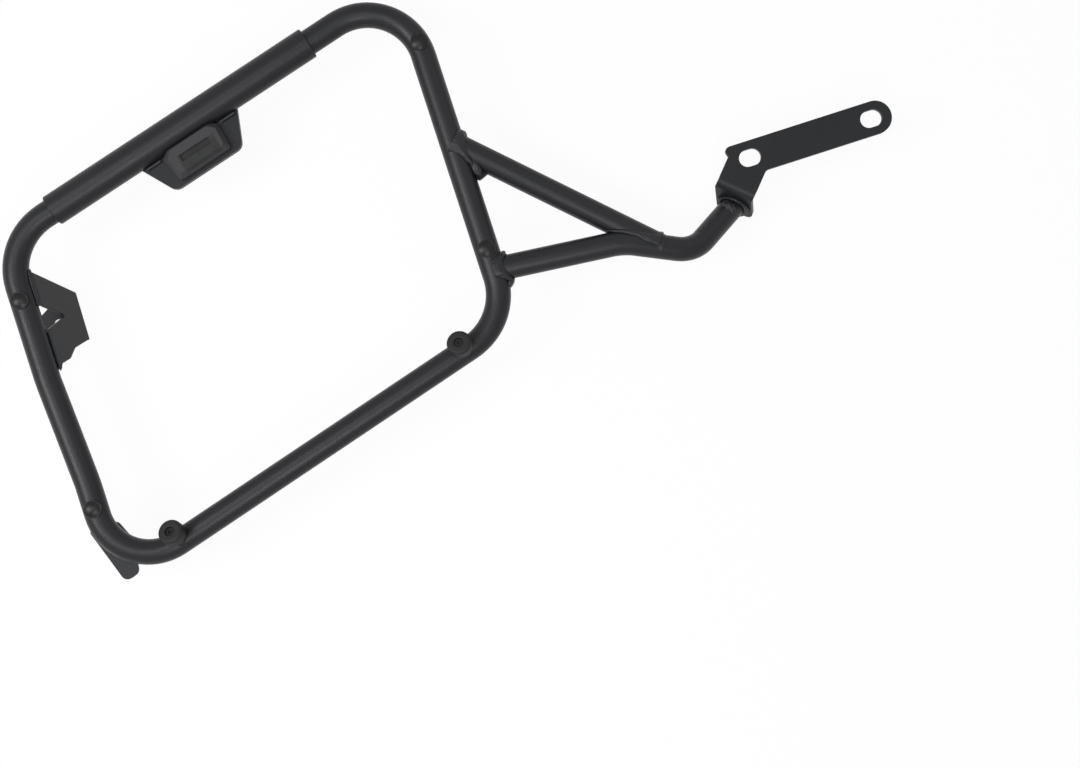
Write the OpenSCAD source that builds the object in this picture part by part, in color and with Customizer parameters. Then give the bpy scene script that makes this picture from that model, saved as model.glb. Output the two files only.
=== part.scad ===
// Right-hand side case frame for a motorcycle, with the loop, its stay and its brackets.
// Millimetres, X forward along the slots, Y up along the side tubes, Z outward.

/* [Tubes] */
// Outer diameter of the bent frame tube
tube_d = 20; // [18:0.5:22]
// Wall of the bent frame tube
tube_wall = 2; // [1.2:0.1:3]
// Bend radius of the loop's front top corner, at the tube's axis
corner_r = 46; // [40:1:52]
// Bend radius of the two open corners, rear top and front bottom
open_corner_r = 49; // [44:1:56]
// Bend radius of the rear bottom corner
rear_low_r = 41.5; // [38:0.5:50]
// Outer diameter of the upper brace
brace_d = 19.5; // [17:0.5:21]
// Outer diameter of the lower arm
arm_d = 19.5; // [17:0.5:20]
// Wall of the brace and of the arm
arm_wall = 2; // [1.2:0.1:3]

/* [Loop] */
// Slope of the top and bottom runs against the slots, in degrees
loop_slope = 15.9; // [12:0.1:19]
// Distance between the front and rear side tubes
loop_w = 355.5; // [345:0.5:380]
// Distance between the top and bottom runs, along the side tubes
loop_h = 281; // [270:1:300]
// From the middle of the slots back to the front side tube
loop_setback = 274; // [268:1:285]
// From the slots up to the front top corner of the loop
loop_lift = 215; // [208:1:222]
// Height of the loop's plane over the seat of the mounting plate
loop_rise = 16; // [13:0.5:19]
// How far the lower half of the rear side steps forward
rear_step = 5.1; // [3:0.1:9]
// From the rear bottom corner up to the end of the step
rear_step_up = 81; // [76:1:90]
// Height over which the step runs
rear_step_run = 85; // [75:1:95]
// Bend radius of the two gentle bends of the step
rear_step_r = 120; // [80:5:160]
// Gap between the tube's ends inside the sleeve
tube_end_gap = 24; // [10:1:40]

/* [Sleeve] */
// Outer diameter of the top sleeve
sleeve_d = 25; // [24:0.1:27]
// Length of the top sleeve
sleeve_len = 239; // [220:1:245]
// From the front top corner point to the sleeve's front end
sleeve_inset = 86.5; // [84:0.5:92]
// Radial clearance between the sleeve and the tube in it
sleeve_clear = 0.1; // [0.05:0.05:0.3]
// Bevel on both rims of the sleeve
sleeve_bevel = 0.6; // [0.2:0.1:1]

/* [Case studs] */
// Outer diameter of the stud bosses
stud_d = 14; // [12:0.5:15]
// Stand-out of a stud boss over the tube
stud_out = 0.9; // [0.5:0.1:2]
// Bore of a stud boss
stud_bore_d = 8; // [6:0.5:9]
// Depth of the bore
stud_bore_depth = 12; // [8:1:16]
// Height of the dome of a stud plug
plug_dome = 1.8; // [1:0.1:3]
// From the front top corner point down to the front upper stud
stud_front_drop = 52; // [45:1:60]
// From the rear top corner point down to the rear upper stud
stud_rear_drop = 49; // [40:1:58]
// From the front bottom corner point up to the front lower stud
stud_front_rise = 58.5; // [50:0.5:68]

/* [Buffers] */
// Diameter of a rubber buffer
buffer_d = 19.5; // [16:0.5:22]
// Thickness of a rubber buffer
buffer_h = 10.5; // [8:0.5:14]
// Bevel of a buffer's rim
buffer_bevel = 1.6; // [0.8:0.1:2.5]
// Diameter of the welded seat under a buffer
buffer_seat_d = 14; // [12:0.5:15]
// Height of the seat over the tube
buffer_seat_out = 3.5; // [2:0.5:6]
// Lean of the front buffer toward the inside of the loop, in degrees
buffer_lean = 17; // [10:1:25]
// Lean of the rear buffer toward the inside of the loop, in degrees
buffer_rear_lean = 25; // [10:1:30]
// From the front bottom corner point back to the front buffer
buffer_front_in = 43; // [38:0.5:50]
// From the rear bottom corner point forward to the rear buffer
buffer_rear_in = 58.5; // [52:0.5:68]
// Head diameter of a buffer screw
screw_head_d = 7; // [6:0.5:9]
// Shank diameter of a buffer screw
screw_d = 5; // [4:0.5:6]

/* [Stay] */
// From the front bottom corner up to the brace's axis on the side tube
brace_rise = 147; // [140:1:153]
// Slope of the brace below the slots' line, in degrees
brace_slope = 44; // [40:0.5:46]
// Height of the brace's end over the arm's axis
brace_ride = 1; // [0.5:0.1:2]
// From the front bottom corner up to the arm's axis on the side tube
arm_rise = 42; // [38:0.5:46]
// Slope of the arm's first run, in degrees
arm_slope = 5.7; // [4:0.1:8]
// Length of the arm's first run along X
arm_run = 104; // [98:1:110]
// Second bend point ahead of the first
arm_mid_x = 52; // [48:1:56]
// Second bend point below the first
arm_mid_y = 23; // [20:1:26]
// Second bend point inboard of the first
arm_mid_z = 10; // [7:1:13]
// Bend radius of the arm's first bend
arm_bend_1 = 60; // [45:1:75]
// Bend radius of the arm's second bend
arm_bend_2 = 28; // [24:1:30]
// From the plate's bend down its flange to the arm's axis
arm_tip_down = 15.6; // [11:0.1:17]
// From the flange's middle sideways to the arm's axis
arm_tip_side = 5.1; // [2:0.1:6]
// Side of the small gusset under the brace
gusset_side = 17; // [12:1:22]
// Thickness of the gusset
gusset_t = 3; // [2:0.5:4]

/* [Mounting plate] */
// Thickness of the mounting plate
plate_t = 4; // [3:0.5:5]
// Width of the slotted limb
plate_w = 27; // [24:0.5:30]
// Distance between the two slots
slot_pitch = 102.4; // [96:0.2:108]
// Width of a slot
slot_w = 13.8; // [10:0.2:15]
// Length of a slot, end to end
slot_len = 18; // [16:0.5:22]
// From the far slot's centre to the plate's rounded end
plate_end = 16.8; // [15:0.2:20]
// From the near slot's centre back to the plate's corner
plate_heel = 16.3; // [14:0.1:18]
// Length of the leg, from the heel down to the bend
leg_len = 18; // [15:0.5:24]
// Width of the leg
leg_w = 32; // [28:0.5:34]
// Direction of the leg, in degrees from X
leg_dir = -132; // [-136:1:-128]
// Inner radius of the plate's bend
plate_bend_r = 3.5; // [2:0.5:6]
// Angle of the bend toward the motorcycle, in degrees
plate_bend = 74; // [68:1:80]
// Length of the bent flange
flange_len = 26; // [23:1:30]
// Sideways shift of the flange's far edge
flange_skew = 8.5; // [6:0.5:12]

/* [Rear bracket] */
// Thickness of the folded bracket
bracket_t = 2.5; // [2:0.5:4]
// Depth of the bracket's seat below the loop's plane
bracket_depth = 53; // [46:1:58]
// From the rear top corner down to the bracket's seat centre
bracket_drop = 66; // [62:1:72]
// Outer face of the bracket's top edge, beside the tube's surface
bracket_edge = 2.6; // [2.2:0.1:4]
// Gap between the tube and the bracket's edge, beside its welds
bracket_slit = 0.9; // [0.5:0.1:1.5]
// Lean of the bracket's face
bracket_lean = 16.6; // [12:0.1:21]
// Turn of the bracket against the upper side tube
bracket_turn = 1; // [0:0.5:3]
// Width of the bracket's seat along the tube
bracket_seat_w = 37; // [32:1:44]
// Depth of the bracket's seat, from its fold
bracket_seat_l = 38; // [34:1:44]
// Cut corners of the seat, across the tube
bracket_cut_l = 20; // [12:1:24]
// Cut corners of the seat, along the tube
bracket_cut_w = 12; // [8:0.5:14]
// From the seat's fold to its bolt hole
bracket_hole_in = 18.5; // [16:0.5:22]
// Bolt hole in the bracket's seat
bracket_hole_d = 9; // [8:0.5:11]
// From the seat's upper end up to the face's top corner
bracket_rise = 19; // [15:1:23]
// Width of the face's window at the tube
window_w = 21; // [17:0.5:25]
// Depth of the window
window_depth = 29.5; // [24:0.5:34]
// From the seat's lower end down to the root of the hook
hook_root_out = 6.5; // [4:0.5:9]
// Depth of the hook's root below the loop's plane
hook_root_z = 28.5; // [24:0.5:33]
// From the seat's lower end down to the hook's shoulder
hook_out = 15; // [12:0.5:18]
// Depth of the hook's shoulder
hook_z = 18; // [14:0.5:22]
// From the seat's lower end down to the bracket's tail
tail_out = 18.5; // [16:0.5:22]
// Depth of the tail's corner
tail_z = 5.5; // [3:0.5:8]
// From the tail's corner down to the end of the top edge
tail_len = 6; // [3:0.5:9]

/* [Crossbar tab] */
// Thickness of the folded crossbar tab
tab_t = 4; // [3:0.5:5]
// Length of the tab's outer edge
tab_len = 48; // [44:1:52]
// Depth of the tab's folded ear
tab_ear = 31; // [26:1:36]
// Bolt hole in the ear
tab_hole_d = 9; // [8:0.5:11]

/* [Latch plate] */
// Thickness of the latch plate
latch_t = 2.5; // [2:0.5:4]
// Width of the latch plate at the sleeve
latch_top_w = 90.5; // [84:0.5:100]
// Width of the latch plate at its lower edge, to the corner points
latch_low_w = 62; // [57:1:68]
// Reach of the latch plate from the sleeve's axis
latch_reach = 39.5; // [38:0.5:44]
// Corner radius of the latch plate
latch_r = 8; // [5:0.5:11]
// Depth of the turned-down rim
latch_rim = 6; // [5:0.5:9]
// Length of the rubber latch pad
pad_len = 50.5; // [46:0.5:54]
// Width of the rubber latch pad
pad_w = 26; // [23:0.5:27]
// Height of the rubber latch pad
pad_h = 10; // [7:0.5:12]
// Taper of the pad's sides
pad_taper = 3; // [1.5:0.5:4]

/* [Welds] */
// Leg of a weld bead
weld_leg = 3; // [2:0.1:4]
// Leg of the long bead between the brace and the arm
stay_leg = 2; // [1.5:0.1:3]
// Clearance between a weld and the pieces that it joins
weld_gap = 0.05; // [0.02:0.01:0.15]

/* [Hidden] */
$fn = 64;

tube_r = tube_d / 2;
arm_r = arm_d / 2;
brace_r = brace_d / 2;
boss_clear = 0.1;
// A bend's wall is drawn down by this much on each side, and the runs lap over its ends
bend_draw = 0.05;
bend_lap = 0.5;
// Flat of the folded section that lies in the plate
fold_lap = 4;
// The fold is this much narrower than the leg on each side
fold_relief = 0.1;
slope_dir = [cos(loop_slope), sin(loop_slope)];

// Corner points of the loop, in the loop's plane
front_x = -loop_setback;
rear_x = front_x - loop_w;
front_top = [front_x, loop_lift];
rear_top = [rear_x, loop_lift - loop_w * tan(loop_slope)];
front_low = [front_x, loop_lift - loop_h];
rear_low_x = rear_x + rear_step;
rear_low = [rear_low_x, front_low[1] - (front_x - rear_low_x) * tan(loop_slope)];
step_low = rear_low + [0, rear_step_up];
step_top = [rear_x, step_low[1] + rear_step_run];
sleeve_mid = front_top - slope_dir * (sleeve_inset + sleeve_len / 2);
loop_path = [sleeve_mid + slope_dir * tube_end_gap / 2, front_top, front_low, rear_low,
             step_low, step_top, rear_top, sleeve_mid - slope_dir * tube_end_gap / 2];
loop_bends = [0, corner_r, open_corner_r, rear_low_r, rear_step_r, rear_step_r, open_corner_r, 0];

// Places of the studs on the side tubes
stud_pitch = loop_h - stud_front_drop - stud_front_rise;
function rear_axis_x(y) =
    y > step_top[1] ? rear_x
    : y < step_low[1] ? step_low[0]
    : rear_x + rear_step * (step_top[1] - y) / rear_step_run;
stud_places = [
    [front_x, front_top[1] - stud_front_drop],
    [front_x, front_top[1] - stud_front_drop - stud_pitch],
    [rear_axis_x(rear_top[1] - stud_rear_drop), rear_top[1] - stud_rear_drop],
    [step_low[0], rear_top[1] - stud_rear_drop - stud_pitch]];
buffer_places = [front_low - slope_dir * buffer_front_in, rear_low + slope_dir * buffer_rear_in];

// The stay: brace and arm
arm_root = [front_x, front_low[1] + arm_rise, 0];
arm_bend_a = arm_root + [arm_run, -arm_run * tan(arm_slope), 0];
arm_bend_b = arm_bend_a + [arm_mid_x, -arm_mid_y, -arm_mid_z];
brace_root = [front_x, front_low[1] + brace_rise, 0];
arm_mid_dir = unit(arm_bend_b - arm_bend_a);
brace_meet = meet_x(brace_root, [cos(brace_slope), -sin(brace_slope)], arm_bend_a, arm_mid_dir);
arm_meet = arm_bend_a + arm_mid_dir * (brace_meet - arm_bend_a[0]) / arm_mid_dir[0];
brace_tip = arm_meet + [0, 0, brace_ride];
brace_dir = unit(brace_tip - brace_root);
// The bead of the stay's joint stops this much before the brace's end
stay_bead_stop = 4;

// The mounting plate, its leg and its flange
plate_top = plate_t - loop_rise;
leg_axis = [cos(leg_dir), sin(leg_dir)];
leg_side = [-sin(leg_dir), cos(leg_dir)];
heel_x = -slot_pitch / 2 - plate_heel;
leg_start = [heel_x, 6];
bend_mid = leg_start + leg_axis * leg_len + leg_side * leg_w / 2;
bend_fall = plate_bend_r + plate_t;
flange_down = [leg_axis[0] * cos(plate_bend), leg_axis[1] * cos(plate_bend), -sin(plate_bend)];
flange_out = [leg_axis[0] * sin(plate_bend), leg_axis[1] * sin(plate_bend), cos(plate_bend)];
flange_root = [bend_mid[0] + leg_axis[0] * bend_fall * sin(plate_bend),
               bend_mid[1] + leg_axis[1] * bend_fall * sin(plate_bend),
               plate_top - bend_fall * (1 - cos(plate_bend))];
arm_tip = flange_root + flange_down * arm_tip_down + flat(leg_side) * arm_tip_side;

// The rear bracket's section, across the tube
bracket_y = rear_top[1] - bracket_drop;
bracket_top_z = -0.5;
seat_z = -bracket_depth + bracket_t / 2;
face_x = rear_x + tube_r + bracket_edge - bracket_t / 2 / cos(bracket_lean);
face_top = [face_x - 5 * tan(bracket_lean), bracket_top_z + 5];
face_low = [face_x + (bracket_top_z - seat_z) * tan(bracket_lean), seat_z];
seat_far = [face_low[0] - bracket_seat_l, seat_z];
hole_x = face_low[0] - bracket_hole_in;
bead_len = 30;

// The crossbar tab, under the rear bottom corner
tab_dir = -71.5;
tab_top = [rear_low[0] - 13, rear_low[1] + 44];
tab_z = -tube_r - weld_gap;

// The latch plate's top face, and the pad's place and pegs on it
latch_z = -2;
pad_y = -latch_reach + 3.5 + pad_w / 2;
peg_d = 5;
// The beads run from beside the pad to near the plate's upper corners
pad_clear = 2;
latch_bead = latch_top_w / 2 - 4 - pad_len / 2 - pad_clear;

function unit(v) = v / norm(v);
// X where a line from a point meets a second line, both seen along Z
function meet_x(p, d, q, e) =
    p[0] + d[0] * ((q[0] - p[0]) * e[1] - (q[1] - p[1]) * e[0]) / (d[0] * e[1] - d[1] * e[0]);
function flat(p) = len(p) == 3 ? p : [p[0], p[1], 0];
function in_dir(p, i) = unit(flat(p[i]) - flat(p[i - 1]));
function out_dir(p, i) = unit(flat(p[i + 1]) - flat(p[i]));
function bend_angle(p, i) = acos(in_dir(p, i) * out_dir(p, i));
function bend_back(p, r, i) =
    i == 0 || i == len(p) - 1 ? 0 : r[i] * tan(bend_angle(p, i) / 2);

// Arc points of one rounded corner of an outline
function corner_arc(a, b, c, r, n) =
    r == 0 ? [b] :
    let (u = unit(a - b), v = unit(c - b), half = acos(u * v) / 2,
         back = r / tan(half), mid = b + unit(u + v) * r / sin(half),
         s = b + u * back - mid, e = b + v * back - mid,
         sweep = 180 - 2 * half, side = s[0] * e[1] - s[1] * e[0] > 0 ? 1 : -1)
    [for (k = [0:n]) mid + [s[0] * cos(side * sweep * k / n) - s[1] * sin(side * sweep * k / n),
                            s[0] * sin(side * sweep * k / n) + s[1] * cos(side * sweep * k / n)]];
function rounded(p, r, n = 6) =
    [for (i = [0:len(p) - 1])
        for (q = corner_arc(p[(i + len(p) - 1) % len(p)], p[i], p[(i + 1) % len(p)], r[i], n)) q];

// A ring, or a disc where the wall is as thick as the radius
module tube_section(r, wall) {
    difference() {
        circle(r = r);
        if (wall < r)
            circle(r = r - wall);
    }
}

// A straight length of tube along Y, from one place to another
module tube_run(from_y, to_y, r, wall) {
    translate([0, from_y, 0])
        rotate([-90, 0, 0])
            linear_extrude(height = to_y - from_y)
                tube_section(r, wall);
}

// Bend axis at a corner of the path; a path's end keeps its neighbour's
function bend_axis(p, i) =
    let (k = min(max(i, 1), len(p) - 2)) unit(cross(in_dir(p, k), out_dir(p, k)));

// Turn about the tube from one bend's plane to the next one's
function roll_to(p, i) =
    let (old = bend_axis(p, i - 1), new = bend_axis(p, i), u = in_dir(p, i))
    atan2(new * cross(u, old), new * old);

// The rest of a bent tube, from after bend i, with the travel along Y
module tube_chain(p, rad, r, wall, i) {
    run = norm(flat(p[i + 1]) - flat(p[i])) - bend_back(p, rad, i) - bend_back(p, rad, i + 1);
    first = i == 0;
    last = i == len(p) - 2;
    tube_run(first ? 0 : -bend_lap, last ? run : run + bend_lap, r, wall);
    if (!last)
        translate([0, run, 0])
            rotate([0, roll_to(p, i + 1), 0])
                translate([-rad[i + 1], 0, 0]) {
                    rotate_extrude(angle = bend_angle(p, i + 1), $fn = 72)
                        translate([rad[i + 1], 0])
                            tube_section(r - bend_draw, wall < r ? wall - 2 * bend_draw : r);
                    rotate([0, 0, bend_angle(p, i + 1)])
                        translate([rad[i + 1], 0, 0])
                            tube_chain(p, rad, r, wall, i + 1);
                }
}

// A bent tube along corner points, with a bend radius at each
module bent_tube(p, rad, r, wall) {
    u = out_dir(p, 0);
    axis = bend_axis(p, 0);
    side = cross(u, axis);
    at = flat(p[0]);
    multmatrix([[side[0], u[0], axis[0], at[0]],
                [side[1], u[1], axis[1], at[1]],
                [side[2], u[2], axis[2], at[2]],
                [0, 0, 0, 1]])
        tube_chain(p, rad, r, wall, 0);
}

// A straight length of tube from one point to another
module straight_tube(a, b, r, wall) {
    d = unit(b - a);
    translate(a)
        rotate([0, acos(d[2]), atan2(d[1], d[0])])
            linear_extrude(height = norm(b - a))
                tube_section(r, wall);
}

// Moves its children into the loop's plane
module at_loop() {
    translate([0, 0, loop_rise])
        children();
}

// Places its children at each stud, facing outward
module at_studs() {
    for (p = stud_places)
        translate([p[0], p[1], 0])
            children();
}

// Places its children at each buffer, along the leaning buffer axis
module at_buffers() {
    for (b = [0, 1])
        translate([buffer_places[b][0], buffer_places[b][1], 0])
            rotate([0, 0, loop_slope])
                rotate([b == 0 ? -buffer_lean : -buffer_rear_lean, 0, 0])
                    children();
}

module stud_holes() {
    at_studs()
        translate([0, 0, -tube_r - 1])
            cylinder(r = stud_d / 2 + boss_clear, h = 2 * tube_r + 4);
    at_buffers()
        cylinder(r = buffer_seat_d / 2 + boss_clear, h = tube_r + 6);
}

module loop_tube() {
    color("dimgray")
        at_loop()
            difference() {
                bent_tube(loop_path, loop_bends, tube_r, tube_wall);
                stud_holes();
            }
}

// Sleeve frame: X along the sleeve from its middle, Y up from its axis
module at_sleeve() {
    translate([sleeve_mid[0], sleeve_mid[1], 0])
        rotate([0, 0, loop_slope])
            children();
}

module top_sleeve() {
    color("slategray")
        at_loop()
            at_sleeve()
                rotate([0, 90, 0])
                    translate([0, 0, -sleeve_len / 2])
                        difference() {
                            union() {
                                cylinder(r1 = sleeve_d / 2 - sleeve_bevel, r2 = sleeve_d / 2,
                                         h = sleeve_bevel);
                                translate([0, 0, sleeve_bevel])
                                    cylinder(r = sleeve_d / 2, h = sleeve_len - 2 * sleeve_bevel);
                                translate([0, 0, sleeve_len - sleeve_bevel])
                                    cylinder(r1 = sleeve_d / 2, r2 = sleeve_d / 2 - sleeve_bevel,
                                             h = sleeve_bevel);
                            }
                            translate([0, 0, -1])
                                cylinder(r = tube_r + sleeve_clear, h = sleeve_len + 2);
                        }
}

module stud_bosses() {
    color("gray")
        at_loop()
            at_studs()
                difference() {
                    translate([0, 0, -tube_r + tube_wall / 2])
                        cylinder(r = stud_d / 2, h = 2 * tube_r - tube_wall / 2 + stud_out);
                    translate([0, 0, tube_r + stud_out - stud_bore_depth])
                        cylinder(r = stud_bore_d / 2, h = stud_bore_depth + 1);
                }
}

// Domed plug that closes a stud boss
module stud_plugs() {
    dome_r = stud_d / 2 - 0.4;
    ball_r = (dome_r * dome_r + plug_dome * plug_dome) / (2 * plug_dome);
    color("darkslategray")
        at_loop()
            at_studs()
                translate([0, 0, tube_r + stud_out]) {
                    rotate_extrude()
                        intersection() {
                            translate([0, plug_dome - ball_r])
                                circle(r = ball_r, $fn = 180);
                            square([dome_r, plug_dome + 1]);
                        }
                    translate([0, 0, -stud_bore_depth / 2])
                        cylinder(r = stud_bore_d / 2 - boss_clear, h = stud_bore_depth / 2);
                }
}

module buffer_seats() {
    color("gray")
        at_loop()
            at_buffers()
                difference() {
                    translate([0, 0, tube_r - tube_wall * 2])
                        cylinder(r = buffer_seat_d / 2, h = tube_wall * 2 + buffer_seat_out);
                    translate([0, 0, tube_r - tube_wall * 2 - 1])
                        cylinder(r = screw_d / 2 + boss_clear, h = tube_wall * 2 + buffer_seat_out + 2);
                }
}

module rubber_buffers() {
    head_h = 4;
    color("black")
        at_loop()
            at_buffers()
                translate([0, 0, tube_r + buffer_seat_out])
                    difference() {
                        union() {
                            cylinder(r = buffer_d / 2, h = buffer_h - buffer_bevel);
                            translate([0, 0, buffer_h - buffer_bevel])
                                cylinder(r1 = buffer_d / 2, r2 = buffer_d / 2 - buffer_bevel,
                                         h = buffer_bevel);
                        }
                        translate([0, 0, -1])
                            cylinder(r = screw_d / 2 + boss_clear, h = buffer_h + 2);
                        translate([0, 0, buffer_h - head_h])
                            cylinder(r = screw_head_d / 2 + boss_clear, h = head_h + 1);
                    }
}

module buffer_screws() {
    head_h = 4;
    head_t = 2.4;
    color("silver")
        at_loop()
            at_buffers()
                difference() {
                    union() {
                        translate([0, 0, tube_r - tube_wall * 2])
                            cylinder(r = screw_d / 2,
                                     h = tube_wall * 2 + buffer_seat_out + buffer_h - head_h);
                        translate([0, 0, tube_r + buffer_seat_out + buffer_h - head_h])
                            cylinder(r = screw_head_d / 2, h = head_t);
                    }
                    translate([0, 0, tube_r + buffer_seat_out + buffer_h - head_h + head_t - 1.4])
                        cylinder(r = 1.7, h = 3, $fn = 6);
                }
}

// Solid form of the front side tube, for coping what is welded to it
module front_side_solid(more) {
    translate([front_x, front_low[1], 0])
        rotate([-90, 0, 0])
            cylinder(r = tube_r + more, h = loop_h);
}

arm_path = [arm_root, arm_bend_a, arm_bend_b, arm_tip + unit(arm_tip - arm_bend_b) * 12];
arm_bends = [0, arm_bend_1, arm_bend_2, 0];

module arm_solid(more) {
    bent_tube(arm_path, arm_bends, arm_r + more, arm_r + more);
}

// Solid form of the brace, which may run on past its end or stop before it
module brace_solid(more, reach = 0) {
    straight_tube(brace_root, brace_tip + brace_dir * reach, brace_r + more, brace_r + more);
}

// What lies under the joint of brace and arm, past the line that halves their angle
module below_stay_joint() {
    arm_turn = atan2(arm_mid_dir[1], arm_mid_dir[0]);
    translate(brace_tip)
        rotate([0, 0, (arm_turn - brace_slope) / 2])
            translate([-4 * arm_d, -2 * arm_d - stay_leg / 2, -arm_d])
                cube([8 * arm_d, 2 * arm_d, 2 * arm_d]);
}

// Section of the fold: a short flat, the bend and the flange, in the bend's frame
function fold_section() =
    let (n = 10, out = bend_fall, inn = plate_bend_r,
         away = [-sin(plate_bend), cos(plate_bend)] * flange_len)
    concat([[out, -fold_lap]],
           [for (k = [0:n]) out * [cos(plate_bend * k / n), sin(plate_bend * k / n)]],
           [out * [cos(plate_bend), sin(plate_bend)] + away,
            inn * [cos(plate_bend), sin(plate_bend)] + away],
           [for (k = [n:-1:0]) inn * [cos(plate_bend * k / n), sin(plate_bend * k / n)]],
           [[inn, -fold_lap]]);

// Frame of the plate's bend: Z along the bend line, X at the plate's end
module at_plate_bend() {
    multmatrix([[0, leg_axis[0], leg_side[0], bend_mid[0]],
                [0, leg_axis[1], leg_side[1], bend_mid[1]],
                [1, 0, 0, plate_top - bend_fall],
                [0, 0, 0, 1]])
        children();
}

// Flange frame: X along the bend line, Y down the flange, Z out of its face
module at_flange() {
    multmatrix([[-leg_side[0], flange_down[0], flange_out[0], flange_root[0]],
                [-leg_side[1], flange_down[1], flange_out[1], flange_root[1]],
                [0, flange_down[2], flange_out[2], flange_root[2]],
                [0, 0, 0, 1]])
        children();
}

// The half space behind the flange's face
module behind_flange(more) {
    at_flange()
        translate([-60, -60, -60 + more])
            cube([120, 120, 60]);
}

module lower_arm() {
    color("dimgray")
        at_loop()
            difference() {
                bent_tube(arm_path, arm_bends, arm_r, arm_wall);
                front_side_solid(weld_gap);
                behind_flange(weld_gap);
            }
}

module upper_brace() {
    color("dimgray")
        at_loop()
            difference() {
                straight_tube(brace_root, brace_tip, brace_r, arm_wall);
                front_side_solid(weld_gap);
                arm_solid(weld_gap);
            }
}

// Flat gusset in the acute corner under the brace
module brace_gusset() {
    corner = brace_root + [tube_r, -(tube_r + brace_r / cos(brace_slope)), 0]
             + [0, tube_r * (1 - tan(brace_slope)), 0];
    color("dimgray")
        at_loop()
            difference() {
                translate([0, 0, -gusset_t / 2])
                    linear_extrude(height = gusset_t)
                        polygon([[front_x + tube_r, corner[1] + 6],
                                 [corner[0], corner[1] - gusset_side * 0.62],
                                 [corner[0] + 2, corner[1] - gusset_side * 0.68],
                                 [corner[0] + gusset_side * 0.7, corner[1] - gusset_side * 0.45],
                                 [corner[0] + gusset_side * 0.75, corner[1] - 2]]);
                front_side_solid(weld_gap);
                brace_solid(weld_gap);
            }
}

module brace_weld() {
    color("gray")
        at_loop()
            difference() {
                intersection() {
                    front_side_solid(weld_leg);
                    brace_solid(weld_leg);
                }
                front_side_solid(weld_gap);
                brace_solid(weld_gap);
                translate([front_x, brace_root[1] - 60, -gusset_t / 2 - weld_gap])
                    cube([60, 60, gusset_t + 2 * weld_gap]);
            }
}

module arm_weld() {
    color("gray")
        at_loop()
            difference() {
                intersection() {
                    front_side_solid(weld_leg);
                    arm_solid(weld_leg);
                }
                front_side_solid(weld_gap);
                arm_solid(weld_gap);
            }
}

module stay_weld() {
    color("gray")
        at_loop()
            difference() {
                intersection() {
                    brace_solid(stay_leg, -stay_bead_stop);
                    arm_solid(stay_leg);
                }
                brace_solid(weld_gap);
                arm_solid(weld_gap);
                below_stay_joint();
            }
}

module plate_weld() {
    color("gray")
        at_loop()
            difference() {
                intersection() {
                    arm_solid(weld_leg);
                    behind_flange(weld_leg);
                }
                arm_solid(weld_gap);
                behind_flange(weld_gap);
            }
}

// Outline of the slotted limb with its heel and leg
module plate_outline() {
    half = plate_w / 2;
    end_x = slot_pitch / 2 + plate_end - half;
    leg_left = bend_mid - leg_side * leg_w / 2 - leg_axis * 1;
    leg_right = bend_mid + leg_side * leg_w / 2 - leg_axis * 1;
    throat = leg_right - leg_axis * ((-half - leg_right[1]) / -leg_axis[1]);
    difference() {
        union() {
            polygon(rounded([[end_x, half], [heel_x - 1, half], [heel_x - 1, leg_start[1] + 3],
                             leg_start, leg_left, leg_right, throat, [end_x, -half]],
                            [0, 4, 0, 0, 0, 0, 6, 0]));
            translate([end_x, 0])
                circle(r = half);
        }
        for (s = [-1, 1])
            slot_outline(s * slot_pitch / 2);
    }
}

module slot_outline(x) {
    reach = (slot_len - slot_w) / 2;
    translate([x, 0]) {
        translate([-reach, 0])
            circle(r = slot_w / 2);
        translate([reach, 0])
            circle(r = slot_w / 2);
        translate([-reach, -slot_w / 2])
            square([2 * reach, slot_w]);
    }
}

module mount_plate() {
    half_w = leg_w / 2 - fold_relief;
    color("slategray")
        at_loop() {
            translate([0, 0, plate_top - plate_t])
                linear_extrude(height = plate_t)
                    plate_outline();
            intersection() {
                at_plate_bend()
                    translate([0, 0, -leg_w])
                        linear_extrude(height = 2 * leg_w)
                            polygon(fold_section());
                at_flange()
                    translate([0, 0, -30])
                        linear_extrude(height = 60)
                            polygon(rounded([[half_w, -30], [-half_w, -30], [-half_w, 0],
                                             [-half_w - flange_skew, flange_len],
                                             [half_w - flange_skew, flange_len],
                                             [half_w, 0]],
                                            [0, 0, 0, 5, 5, 0]));
            }
        }
}

// A strip of sheet between two points of a section
module sheet_leg(a, b, t) {
    d = b - a;
    translate(a)
        rotate(atan2(d[1], d[0]))
            translate([0, -t / 2])
                square([norm(d), t]);
    translate(a)
        circle(r = t / 2);
    translate(b)
        circle(r = t / 2);
}

// Folded sheet: leaning face and seat, as thick as the sheet or a little more
module bracket_section(more) {
    sheet_leg(face_top, face_low, bracket_t + 2 * more);
    sheet_leg(face_low, seat_far, bracket_t + 2 * more);
}

// Bracket frame: the side tube's line, turned a little about the bracket's middle
module at_bracket() {
    translate([rear_x, bracket_y, 0])
        rotate([0, 0, -bracket_turn])
            translate([-rear_x, 0, 0])
                children();
}

// Outline of the face and its seat, seen across the tube: X along the tube, Y outward
module bracket_outline() {
    half = bracket_seat_w / 2;
    polygon(rounded([[half + bracket_rise, bracket_top_z], [half + 2.5, -bracket_depth],
                     [half, -bracket_depth - 1], [-half, -bracket_depth - 1], [-half, seat_z + 1],
                     [-half - hook_root_out, -hook_root_z], [-half - hook_out, -hook_z],
                     [-half - tail_out, -tail_z], [-half - tail_out - tail_len, bracket_top_z]],
                    [0, 0, 0, 0, 0, 5, 5, 3, 0]));
}

// Three-sided window of the face, open toward the tube
module bracket_window() {
    mid = 1;
    polygon(rounded([[mid + window_w / 2, 1], [mid - window_w / 2, 1], [mid + 1, -window_depth]],
                    [0, 0, 1.6]));
}

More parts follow.
